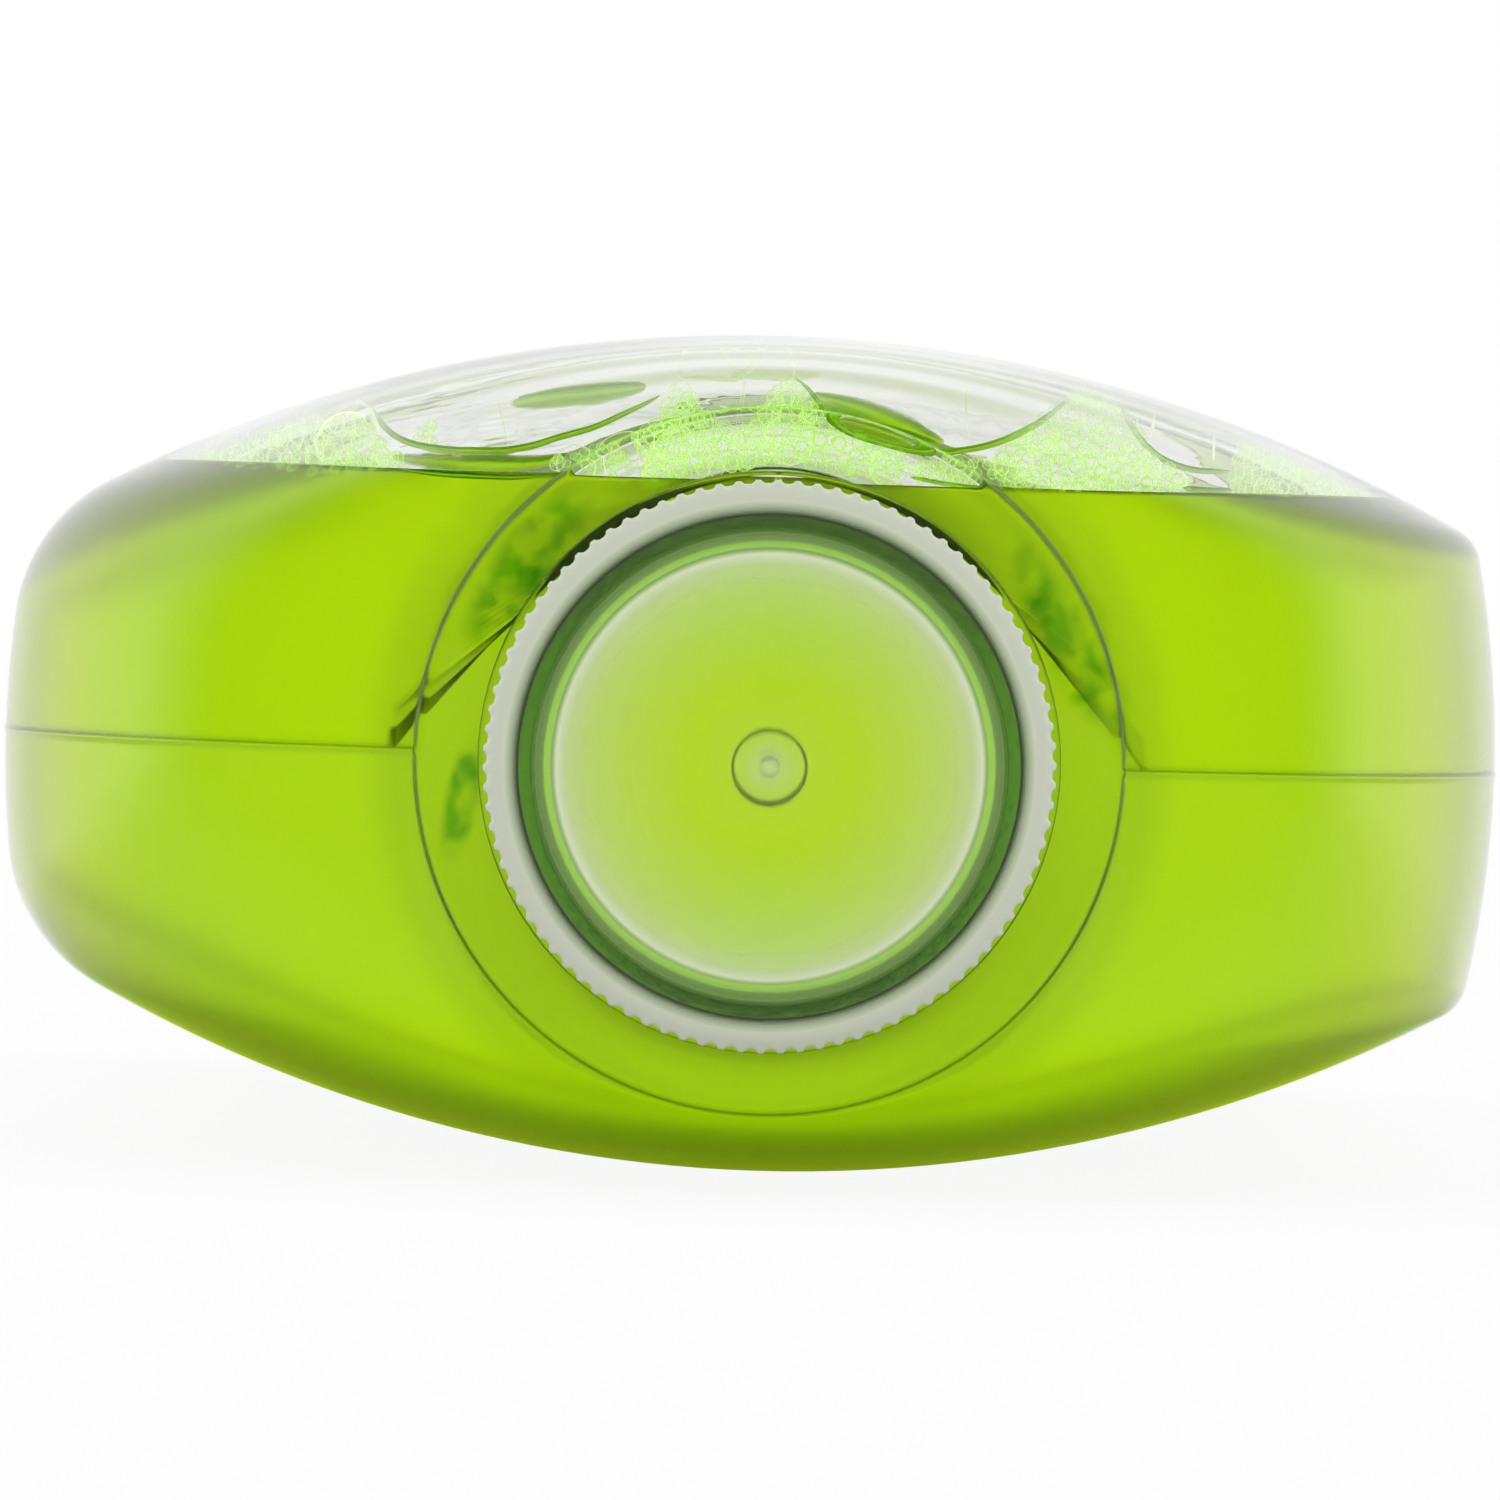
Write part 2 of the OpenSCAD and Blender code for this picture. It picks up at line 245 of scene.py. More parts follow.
def wall(grid):
    """Thickness of the blown wall: wall_t, thicker by the neck and at the base's gate, with the streaks
    that blowing leaves, which are strongest where the neck's thick wall thins out."""
    y = grid[..., 1] - COLLAR_Y
    r = np.hypot(grid[..., 0] - AXIS_X, grid[..., 2] - AXIS_Z)
    a = np.arctan2(grid[..., 2] - AXIS_Z, grid[..., 0] - AXIS_X)
    near = np.exp(-np.maximum(y, 0) / 5) * (1 - smooth(40, 55, r)) * (y < 60)
    gate = (y > 150) * (1 - smooth(4, 12, r))
    patch = np.exp(-((a - math.radians(146)) / 0.30) ** 2) + np.exp(-((a - math.radians(20)) / 0.22) ** 2)
    streaks = ripple(grid, (1.6, 9, 4), 3)
    return WALL_T + 0.55 * near + near * (0.02 + 0.2 * patch) * streaks + 0.5 * gate


def thread(profile, a):
    """Height of the fine thread on the neck: one start of 4.2 mm pitch whose ridge, 0.5 mm high with
    sloping sides, winds one and a half times and fades at both ends."""
    h, turn = profile[:, 1:], a[None, :] / (2 * np.pi)
    high = np.zeros((len(profile), len(a)))
    for m in (0, 1):
        s = m + turn
        ends = smooth(0.05, 0.2, s) * (1 - smooth(1.45, 1.6, s))
        off = np.abs(h - (18.6 - 4.2 * s))
        high += ends * (1 - smooth(0.25, 0.95, off))
    return 0.5 * high * (profile[:, :1] > NECK_R - 0.05)


def clear_shell(material):
    """The bottle as one closed skin: the outer side from the base to the mouth, and back down the bore
    and the inner side, which lies the wall's thickness under the outer one and runs smoothly past the
    solid collar. A parting line of the mould, 0.1 mm high and 0.5 mm wide, runs over both edges."""
    outer = blown_rows(1)
    normal = section(0, 1)[0]
    turn = np.arctan2(normal[:, 1], normal[:, 0]) % (2 * np.pi)
    facings = facing(outer)
    inner = (outer - wall(outer)[..., None] * facings)[COLLAR_ROWS:]
    y = outer[..., 1] - COLLAR_Y
    line = 0.10 * np.exp(-((outer[..., 2] - AXIS_Z) / 0.24) ** 2) * (y > 0.3) * (y < BODY_L - 1)
    outer = outer + line[..., None] * facings

    def turned(profile, swell=None):
        profile = np.array(profile, float)
        r = profile[:, :1] + (swell(profile, turn) if swell else 0 * turn)
        h = np.broadcast_to(profile[:, 1:], r.shape)
        return np.stack([AXIS_X + r * np.cos(turn), COLLAR_Y - h, AXIS_Z + r * np.sin(turn)], -1)

    top = RING_Z + RING_T
    neck = turned(
        arc((NECK_R - 0.4, NECK_H - 0.4), 0.4, 90, 0, 4)
        + [[NECK_R, h] for h in np.linspace(NECK_H - 0.7, top + 0.7, 52)]
        + arc((NECK_R + 0.4, top + 0.4), 0.4, 180, 270, 3)
        + arc((RING_R - 0.35, top - 0.35), 0.35, 90, 0, 4)
        + arc((RING_R - 0.35, RING_Z + 0.35), 0.35, 0, -90, 4)
        + [[NECK_R + 0.5, RING_Z], [NECK_R, RING_Z - 0.3], [NECK_R, 0.8]], thread)
    first = inner[0]
    r1 = np.hypot(first[:, 0] - AXIS_X, first[:, 2] - AXIS_Z).mean()
    y1 = (first[:, 1] - COLLAR_Y).mean()
    flare = [[BORE_R + (r1 - BORE_R) * (1 - math.cos(b)), 1.2 - (y1 + 1.2) * math.sin(b)]
             for b in np.radians([0, 15, 30, 45, 60, 75])]
    bore = turned(arc((BORE_R + 0.4, NECK_H - 0.4), 0.4, 90, 180, 4)
                  + [[BORE_R, h] for h in (20, 15, 10, 5, 2.5)] + flare)
    rows = np.concatenate([outer[::-1], neck[::-1], bore, inner])
    return made("bottle_shell", rows.reshape(-1, 3), woven(*rows.shape[:2]), material)


def painted_light_paleness(points):
    """How much painted light pales the dyed cleaner, 0 to 1. The light that comes in from the sides is painted
    into its colour: it pales outwards over the shoulder, with the shoulder's own share s, towards the ends
    just under the level, a little towards the top, and in the neck with the distance from the axis, from a
    pale middle and less at the top and bottom. On the body, which is lit all over, it settles at a quarter."""
    x, y, z = points[:, 0] - AXIS_X, points[:, 1] - COLLAR_Y, points[:, 2] - AXIS_Z
    r = np.hypot(x, z)
    share = np.sqrt(np.clip(1 - ((SHOULDER_L - y) / (SHOULDER_L - COLLAR_H)) ** 2, 0, 1))
    start = 0.485 - 0.065 * np.tanh(x / 20) + 0.08 * np.abs(z) / AXIS_Z
    t = np.clip((share - start) / (1.02 - start), 0, 1)
    shoulder = t * t * (3 - 2 * t) * (y < SHOULDER_L) + (y >= SHOULDER_L)
    body = 1 - np.exp(-np.maximum(y - SHOULDER_L + 1, 0) / 14)
    pale = (1 - body) * shoulder + 0.25 * body + 0.08 * smooth(-20, 20, z) * (1 - body)
    by_level = np.exp(-np.maximum(LEVEL - points[:, 2], 0) / 1.5)
    pale += 0.45 * by_level * smooth(30, 45, np.abs(x)) * (1 - body)
    neck = np.interp(r, [0, 1.4, 2.6, 3.4, 4.6, 5.8, 7.2, 10, 12.9, 14.3, 15.0, 15.3],
                     [.7, .6, .4, .12, .10, .17, .30, .48, .66, .74, .9, 1.0])
    side = 0.6 + 0.4 * np.abs(x) / np.maximum(r, 1e-6)
    return np.clip(np.where(y < -10, neck * np.where(r > 6, side, 1), pale), 0, 1)


def wet_skin(material):
    """The cleaner: its skin runs in the middle of the bottle's wall, so that no film of air shines
    between the two. Above its level each half ring is cut where it meets the meniscus, and a level
    sheet joins the two contacts. The sheet lies 1.1 mm under the solids' level, where the photograph
    has it, and climbs 0.35 mm as exp(-d / 1.7) towards the wall."""
    level, rise = LEVEL - 1.1, 0.35
    grid = blown_rows(2)
    depth = wall(grid)
    grid = (grid - 0.5 * depth[..., None] * facing(grid))[COLLAR_ROWS:]
    top_index = (grid.shape[1] + 4) // 4 - 1
    normal = section(0, 2)[0]
    neck = [[BORE_R + (18.2 - BORE_R) * (1 - math.cos(b)) + 0.4 * math.cos(b), 1.0 - 1.6 * math.sin(b)]
            for b in np.radians([0, 20, 40, 60])]
    inside = PLUG_R - PLUG_T - FILL_GAP
    below = PANEL_Z - PLUG_H - FILL_GAP
    end = PANEL_Z - FILL_GAP
    outlet = [[0, end], [inside - 0.1, end], [inside, end - 0.1], [inside, below + 0.1],
              [inside + 0.1, below], [BORE_R + 0.25, below], [BORE_R + 0.35, below - 0.1],
              [BORE_R + 0.4, below - 0.6]]
    outlet = np.array(outlet + [[BORE_R + 0.4, h] for h in (14, 10, 5, 2)] + neck)
    ends = np.stack([AXIS_X + outlet[:, :1] * normal[:, 0], np.broadcast_to(
        COLLAR_Y - outlet[:, 1:], (len(outlet), len(normal))), AXIS_Z + outlet[:, :1] * normal[:, 1]], -1)
    grid = np.concatenate([ends, grid])
    high = level + rise
    tops = grid[:, top_index, 2]
    rows = []
    for i in range(len(grid)):                     # a ring is put in where the top first meets the level
        if i and (tops[i - 1] - high) * (tops[i] - high) < 0:
            share = (high - tops[i - 1]) / (tops[i] - tops[i - 1])
            rows.append((1 - share) * grid[i - 1] + share * grid[i])
        rows.append(grid[i])
    grid = np.array(rows)
    low_index = 3 * top_index
    right = np.concatenate([grid[:, low_index:], grid[:, :top_index + 1]], 1)
    left = grid[:, low_index:top_index - 1:-1]
    s = np.linspace(0, 1, 2 * top_index + 1)
    new = np.linspace(0, 1, 150)
    halves = []
    for half in (right, left):
        cut = []
        for ring in half:
            z = np.maximum.accumulate(ring[:, 2]) + np.arange(len(ring)) * 1e-9
            end = 1.0 if z[-1] <= high + 1e-6 else np.interp(high, z, s)
            cut.append(np.stack([np.interp(new * end, s, ring[:, k]) for k in range(3)], -1))
        halves.append(np.array(cut))
    skin = np.concatenate([halves[1][:, ::-1], halves[0][:, 1:]], 1)
    dry = np.flatnonzero(grid[:, top_index, 2] >= high - 1e-6)
    a, b = halves[0][dry, -1], halves[1][dry, -1]
    t = 0.5 - 0.5 * np.cos(np.linspace(0, np.pi, 90))[None, :, None]
    sheet = (1 - t) * a[:, None] + t * b[:, None]
    for_x = np.abs(a[:, None, 0] - b[:, None, 0])
    d_right, d_left = t[..., 0] * for_x, (1 - t[..., 0]) * for_x
    d_end = np.minimum(sheet[..., 1] - sheet[0, 0, 1], sheet[-1, 0, 1] - sheet[..., 1])
    climb = np.minimum(np.exp(-np.minimum(d_right, d_left) / 1.7) + np.exp(-d_end / 1.7), 1)
    inner = np.s_[1:-1]
    sheet[:, inner, 2] = (level + rise * climb)[:, inner]
    sheet[[0, -1], :, 2] = high
    points = np.concatenate([skin.reshape(-1, 3), sheet.reshape(-1, 3)])
    faces = np.concatenate([woven(*skin.shape[:2], closed=False),
                            woven(*sheet.shape[:2], closed=False, first=skin.shape[0] * skin.shape[1])])
    piece = made("cleaning_liquid_body", points, faces, material)
    place = np.empty(3 * len(piece.data.vertices))
    piece.data.vertices.foreach_get("co", place)
    # The cleaner's painted light: how much its colour is drawn paler, by place, for light that comes into it
    tone = piece.data.attributes.new("painted_light_paleness", "FLOAT", "POINT")
    tone.data.foreach_set("value", painted_light_paleness(1000 * place.reshape(-1, 3)).astype(np.float32))
    return piece


def grip(profile, a):
    """Height of the grip ribs: a low rounded bump of a third of the pitch, once every 4 degrees, on the
    skirt's outer side alone, which fades out on the edge's rounding."""
    turn = (a[None, :] * RIBS / (2 * np.pi)) % 1
    bump = 1 - smooth(0.12, 0.32, np.abs(turn - 0.5))
    outside = smooth(CAP_R - RIB_H - 0.35, CAP_R - RIB_H, profile[:, :1])
    return RIB_H * bump * outside


def screw_cap(material):
    """The cap as one closed skin, turned about its axis: the moulding point and its dimple, the panel,
    the rounded edge, the ribbed skirt, the hollow round the neck, and the plug that seals the bore."""
    side, end = CAP_R - RIB_H, PANEL_Z - PLUG_H
    plug_in = PLUG_R - PLUG_T
    profile = [[0, CAP_Z - 0.2], [0.3, CAP_Z - 0.2], [0.55, CAP_Z - 0.23], [POINT_R, CAP_Z - 0.36],
               [POINT_R + 0.12, CAP_Z - DIMPLE_D], [DIMPLE_R - 0.35, CAP_Z - DIMPLE_D],
               [DIMPLE_R - 0.12, CAP_Z - 0.34], [DIMPLE_R, CAP_Z - 0.14], [DIMPLE_R + 0.14, CAP_Z - 0.02],
               [DIMPLE_R + 0.35, CAP_Z], [8, CAP_Z], [14, CAP_Z]]
    profile += arc((side - EDGE_ROUND, CAP_Z - EDGE_ROUND), EDGE_ROUND, 90, 0, 9)
    profile += [[side, h] for h in (19, 14, 9, 6, SKIRT_Z + 0.3)]
    profile += arc((side - 0.2, SKIRT_Z + 0.2), 0.2, 0, -90, 3)
    profile += arc((SKIRT_R + 0.2, SKIRT_Z + 0.2), 0.2, 270, 180, 3)
    profile += [[SKIRT_R, h] for h in (6, 12, 18)]
    profile += arc((SKIRT_R - 0.5, PANEL_Z - 0.5), 0.5, 0, 90, 4)
    profile += arc((PLUG_R + 0.25, PANEL_Z - 0.25), 0.25, 90, 180, 3)
    profile += [[PLUG_R, h] for h in (end + 2.6, end + 1.2)]
    profile += [[PLUG_R - 0.12, end + 0.5], [PLUG_R - 0.35, end + 0.08], [PLUG_R - 0.5, end],
                [plug_in + 0.2, end], [plug_in + 0.05, end + 0.05], [plug_in, end + 0.2],
                [plug_in, end + 2], [plug_in, PANEL_Z - 0.3]]
    profile += arc((plug_in - 0.25, PANEL_Z - 0.25), 0.25, 0, 90, 3)
    profile += [[10, PANEL_Z], [5, PANEL_Z], [0, PANEL_Z]]
    rows = lathed(profile, 720, grip)
    return made("ribbed_cap", rows.reshape(-1, 3), woven(*rows.shape[:2]), material)


def ball(rows, columns):
    """Points and quads of a unit sphere: its rings are spread evenly in angle from pole to pole."""
    up, a = np.meshgrid(np.linspace(0, np.pi, rows), np.linspace(0, 2 * np.pi, columns, endpoint=False),
                        indexing="ij")
    p = np.stack([np.sin(up) * np.cos(a), np.sin(up) * np.sin(a), np.cos(up)], -1)
    return p.reshape(-1, 3), woven(rows, columns)


def clustered(name, centres, radii, rows, columns, material):
    """One mesh of spheres at those centres."""
    points, faces = ball(rows, columns)
    spheres = centres[:, None] + radii[:, None, None] * points
    first = np.arange(len(centres))[:, None, None] * len(points)
    return made(name, spheres.reshape(-1, 3), (first + faces[:, ::-1]).reshape(-1, 4), material,
                recalculate=False)


# Materials
def linear(code):
    """Linear colour of an sRGB hex value."""
    c = np.array([int(code[i:i + 2], 16) for i in (1, 3, 5)]) / 255
    return (*np.where(c <= 0.04045, c / 12.92, ((c + 0.055) / 1.055) ** 2.4), 1)


def add(tree, kind, inputs=None, **settings):
    """Adds a node with its settings. An input is given by its name or number, as a value or as the
    output that feeds it."""
    node = tree.nodes.new(kind)
    for name, value in settings.items():
        setattr(node, name, value)
    for name, value in (inputs or {}).items():
        if isinstance(value, bpy.types.NodeSocket):
            tree.links.new(value, node.inputs[name])
        else:
            node.inputs[name].default_value = value
    return node


def finish_of(name):
    """A new material's tree, emptied but for its output. Its faces aren't sampled as lamps, since the
    floor and the thousands of bubbles light nothing that rays don't find on their own."""
    material = bpy.data.materials.new(name)
    material.use_nodes = True
    material.cycles.emission_sampling = "NONE"
    tree = material.node_tree
    tree.nodes.clear()
    return material, tree, add(tree, "ShaderNodeOutputMaterial")


def eased(tree, value, low, high, least=0.0, most=1.0, kind="SMOOTHSTEP"):
    """The value carried from low..high to least..most, softly at both ends unless kind is LINEAR."""
    return add(tree, "ShaderNodeMapRange", {"Value": value, "From Min": low, "From Max": high, "To Min": least,
                                            "To Max": most}, interpolation_type=kind).outputs[0]


def reckoned(tree, operation, a, b=0.0):
    """What the operation makes of two numbers."""
    return add(tree, "ShaderNodeMath", {0: a, 1: b}, operation=operation).outputs[0]


def blended(tree, share, a, b):
    """Colour a at share 0 and colour b at share 1."""
    return add(tree, "ShaderNodeMix", {"Factor": share, "A": a, "B": b}, data_type="RGBA").outputs["Result"]


def ramp(tree, value, stops):
    """The colours of the stops, each given by its place and its colour, in the order of the places."""
    node = add(tree, "ShaderNodeValToRGB", {"Fac": value})
    for _ in stops[2:]:
        node.color_ramp.elements.new(0.5)
    for stop, (at, colour) in zip(node.color_ramp.elements, stops):
        stop.position = at
        stop.color = colour
    return node.outputs["Color"]


# Painted dark reflections, drawn as streaks in the thick glassy collar: middle in pixels, turn in degrees,
# length and width in millimetres
DARK_REFLECTION_STREAKS = ((527, 566, 55, 7.6, 2.6), (1066, 640, -62, 8.6, 2.2), (462, 800, 80, 5, 1.4))
BAND_WAVE = 0.007                           # metres from one band under the shoulder's top to the next


def clear_polyester():
    """Blown PET: clear as glass, IOR 1.575, with a faint grey green where one looks along the wall, and
    waves 12 mm long, drawn out lengthways, that blowing leaves in the surface. Light is painted into its
    colour: over the liquid's level a grey green in bands, a painted reflection of the cleaner in the wall;
    round the mouth a deep green, the painted light of the cleaner that the thick neck carries to its end;
    and dark streaks in the collar, painted dark reflections in its thick wall."""
    material, tree, out = finish_of("clear_blown_pet")
    place = add(tree, "ShaderNodeTexCoord").outputs["Object"]
    drawn = add(tree, "ShaderNodeMapping", {"Vector": place, "Scale": (1, 0.35, 1)})
    waves = add(tree, "ShaderNodeTexNoise", {"Vector": drawn.outputs[0], "Scale": 80.0, "Detail": 0.0})
    bump = add(tree, "ShaderNodeBump", {"Height": waves.outputs["Fac"], "Distance": 0.00004,
                                        "Strength": 1.0})
    axes = add(tree, "ShaderNodeSeparateXYZ", {0: place})
    y = axes.outputs["Y"]
    # Painted light: the mouth is tinted deep green for the cleaner's light that the thick neck carries to its
    # end
    mouth = eased(tree, y, (COLLAR_Y - 15) / 1000, (COLLAR_Y - 20) / 1000)
    # Painted reflection: over the liquid's level the wall is tinted grey green in bands that fade towards the
    # shoulder's end
    above_level = eased(tree, axes.outputs["Z"], 0.054, 0.059)
    bands = reckoned(tree, "SINE", reckoned(tree, "MULTIPLY", y, 2 * math.pi / BAND_WAVE))
    bands = eased(tree, bands, -0.7, 0.9, 0.12, 1.0)
    end = COLLAR_Y + SHOULDER_L
    shoulder = eased(tree, y, (end - 12) / 1000, end / 1000, 1.0, 0.15)
    bands = reckoned(tree, "MULTIPLY", bands, shoulder)
    tint = blended(tree, reckoned(tree, "MULTIPLY", above_level, bands), linear("#fffffe"), linear("#cfdab2"))
    tint = blended(tree, mouth, tint, linear("#84aa60"))
    # Painted dark reflections: the streaks darken the collar to deep green in a broken pattern
    streak = add(tree, "ShaderNodeTexNoise", {"Vector": place, "Scale": 420.0, "Detail": 1.0})
    strong = eased(tree, streak.outputs["Fac"], 0.42, 0.60, 0.15, 0.9, "LINEAR")
    strong = reckoned(tree, "MULTIPLY", strong, reckoned(tree, "LESS_THAN", y, (COLLAR_Y + 12) / 1000))
    for px, py, turn, long, wide in DARK_REFLECTION_STREAKS:
        spun = add(tree, "ShaderNodeMapping", {
            "Vector": place, "Location": seen_at(px, py, COLLAR_Y) / 1000,
            "Rotation": (0, -math.radians(turn), 0), "Scale": (long / 1000, 1000, wide / 1000)},
            vector_type="TEXTURE")
        off = add(tree, "ShaderNodeVectorMath", {0: spun.outputs[0]}, operation="LENGTH")
        near = eased(tree, off.outputs["Value"], 1.1, 0.5)
        tint = blended(tree, reckoned(tree, "MULTIPLY", near, strong), tint, linear("#3fa53c"))
    pet = add(tree, "ShaderNodeBsdfPrincipled", {
        "Base Color": tint, "Transmission Weight": 1.0, "IOR": 1.575, "Roughness": 0.0,
        "Normal": bump.outputs[0]})
    edge = add(tree, "ShaderNodeVolumeAbsorption", {"Color": linear("#7fbf3a"), "Density": 28.0})
    tree.links.new(pet.outputs[0], out.inputs["Surface"])
    tree.links.new(edge.outputs[0], out.inputs["Volume"])
    return material


RING_MIDDLE = 24.0                          # millimetres from the neck's axis to the middle of the thick collar


def lime_cleaner():
    """Water based cleaner, IOR 1.34, dyed lime green and cloudy, so that light spreads on its way in and
    out, as through rough glass. Its colour has painted light in it: strong lime, and pale yellow green to
    white where the painted paleness stands for light coming in. Behind the thick collar a part of it shows
    as a plain colour: painted shade where light is caught in the wall."""
    material, tree, out = finish_of("cloudy_lime_cleaner")
    pale = add(tree, "ShaderNodeAttribute", attribute_name="painted_light_paleness")
    # Colours of the painted light, from deep lime where none is painted in to near white where most is
    tones = ((0, "#caff01"), (0.12, "#d1ff02"), (0.25, "#d8ff10"), (0.45, "#e0ff2c"), (0.65, "#f2ff78"),
             (0.85, "#ffffb8"), (1, "#fffff4"))
    painted_glow_colour = ramp(tree, pale.outputs["Fac"], [(at, linear(code)) for at, code in tones])
    place = add(tree, "ShaderNodeTexCoord").outputs["Object"]
    ring = add(tree, "ShaderNodeMapping", {"Vector": place, "Scale": (1000, 0, 1000),
                                           "Location": (-AXIS_X, 0, -AXIS_Z)})
    reach = add(tree, "ShaderNodeVectorMath", {0: ring.outputs[0]}, operation="LENGTH")
    axes = add(tree, "ShaderNodeSeparateXYZ", {0: place})
    # Painted shade: in front of the thick collar up to a fifth more of the cleaner shows as plain colour
    off = reckoned(tree, "ABSOLUTE", reckoned(tree, "SUBTRACT", reach.outputs["Value"], RING_MIDDLE))
    round_neck = eased(tree, off, 6.0, 3.0)
    front = eased(tree, axes.outputs["Y"], (COLLAR_Y + 9) / 1000, (COLLAR_Y + 5) / 1000, 0.0, 0.2, "LINEAR")
    through = reckoned(tree, "SUBTRACT", 0.96, reckoned(tree, "MULTIPLY", round_neck, front))
    clear = add(tree, "ShaderNodeBsdfPrincipled", {
        "Base Color": painted_glow_colour, "Transmission Weight": through, "IOR": 1.34, "Roughness": 0.3})
    dye = add(tree, "ShaderNodeVolumeAbsorption", {"Color": linear("#faff00"), "Density": 6.0})
    tree.links.new(clear.outputs[0], out.inputs["Surface"])
    tree.links.new(dye.outputs[0], out.inputs["Volume"])
    return material


def natural_polypropylene():
    """Moulded natural polypropylene, IOR 1.49: the thin panel is nearly clear, and the skirt, seen along
    its wall or through its ribs, is milky. Light is painted into its colour: it is faintly green all over
    and lime green in a ring over the plug's wall, for the cleaner's light seen through it. It has the
    fine orange peel of a spark eroded mould."""
    material, tree, out = finish_of("moulded_natural_polypropylene")
    place = add(tree, "ShaderNodeTexCoord").outputs["Object"]
    grain = add(tree, "ShaderNodeTexNoise", {"Vector": place, "Scale": 900.0, "Detail": 2.0})
    bump = add(tree, "ShaderNodeBump", {"Height": grain.outputs["Fac"], "Distance": 0.00001,
                                        "Strength": 1.0})
    centred = add(tree, "ShaderNodeMapping", {"Vector": place, "Scale": (1, 0, 1),
                                              "Location": (-AXIS_X / 1000, 0, -AXIS_Z / 1000)})
    reach = add(tree, "ShaderNodeVectorMath", {0: centred.outputs[0]}, operation="LENGTH")
    share = reckoned(tree, "MULTIPLY", reach.outputs["Value"], 1000 / CAP_R)
    turbidity = ((0, .63), (1.4, .84), (2.8, .97), (5.7, .985), (7.1, .965), (9.9, .9), (12.8, .76),
                 (14.2, .62), (14.9, .3), (15.3, .62), (16.2, .7), (16.7, .95), (17.7, .95), (18.1, .6),
                 (18.6, .3), (20.1, .3))
    clear = ramp(tree, share, [(r / CAP_R, (level, level, level, 1)) for r, level in turbidity])
    # Painted light: the cleaner's lime seen through the cap, strongest in the ring over the plug's wall
    tints_with_painted_light = ((0, "#f0ffd8"), (3, "#f2ffe0"), (12, "#eeffcc"), (14.9, "#f4ffe0"), (15.3, "#d0fa98"),
              (16.3, "#c8f890"), (17.9, "#e4f4cc"), (18.8, "#f2f8e4"))
    shade = ramp(tree, share, [(r / CAP_R, linear(code)) for r, code in tints_with_painted_light])
    plastic = add(tree, "ShaderNodeBsdfPrincipled", {
        "Base Color": shade, "Transmission Weight": clear, "IOR": 1.49, "Roughness": 0.1,
        "Normal": bump.outputs[0]})
    tree.links.new(plastic.outputs[0], out.inputs["Surface"])
    return material


def soap_film():
    """The thin wet skin of a bubble. It doesn't bend what lies behind it, so its IOR is near 1, and it
    shows only where one looks along it: its rim is pale and white, as wet films heaped up are. A faint
    glow stands for the light that foam passes on many times, more often than rays are followed."""
    material, tree, out = finish_of("wet_soap_film")
    along = add(tree, "ShaderNodeLayerWeight", {"Blend": 0.5})
    dense = eased(tree, along.outputs["Facing"], 0.45, 0.9, 0.03, 0.95)
    film = add(tree, "ShaderNodeBsdfPrincipled", {
        "Base Color": linear("#f4ffd4"), "Alpha": dense, "Roughness": 0.3, "Transmission Weight": 0.5,
        "IOR": 1.1, "Emission Color": linear("#ecffc8"), "Emission Strength": 0.5})
    tree.links.new(film.outputs[0], out.inputs["Surface"])
    return material


def wet_froth():
    """Froth of bubbles under 0.6 mm: light passes it and spreads on the way, so it glows pale lime green,
    with the rims of its bubbles a little denser than their middles. It has the films' faint glow."""
    material, tree, out = finish_of("wet_froth")
    along = add(tree, "ShaderNodeLayerWeight", {"Blend": 0.5})
    dense = eased(tree, along.outputs["Facing"], 0.2, 0.85, 0.12, 0.95)
    film = add(tree, "ShaderNodeBsdfPrincipled", {
        "Base Color": linear("#dcff98"), "Alpha": dense, "Roughness": 0.4, "Transmission Weight": 0.5,
        "IOR": 1.12, "Emission Color": linear("#d2ff88"), "Emission Strength": 0.4})
    tree.links.new(film.outputs[0], out.inputs["Surface"])
    return material


def wet_border():
    """A border where films meet the wall: cleaner that the films draw up, IOR 1.34, bright lime green."""
    material, tree, out = finish_of("cleaner_in_film_border")
    wet = add(tree, "ShaderNodeBsdfPrincipled", {
        "Base Color": linear("#cbff48"), "Transmission Weight": 0.92, "IOR": 1.15, "Roughness": 0.3})
    tree.links.new(wet.outputs[0], out.inputs["Surface"])
    return material


def clinging_cleaner():
    """Cleaner that still clings to the wall of the air gap, in long drops that thin out to nothing at
    their edges, deep lime green."""
    material, tree, out = finish_of("clinging_cleaner")
    along = add(tree, "ShaderNodeLayerWeight", {"Blend": 0.5})
    dense = eased(tree, along.outputs["Facing"], 0.05, 0.65, 0.9, 0.0)
    wet = add(tree, "ShaderNodeBsdfPrincipled", {
        "Base Color": linear("#b4ee10"), "Alpha": dense, "Roughness": 0.35, "Transmission Weight": 0.95,
        "IOR": 1.1})
    tree.links.new(wet.outputs[0], out.inputs["Surface"])
    return material


# Pieces
pet = clear_polyester()
shell = clear_shell(pet)
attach(shell, "filled_bottle")
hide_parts("bottle")

liquid = wet_skin(lime_cleaner())
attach(liquid, "filled_bottle")
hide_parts("cleaning_liquid")

cap = screw_cap(natural_polypropylene())
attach(cap, "screw_cap")
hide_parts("cap")

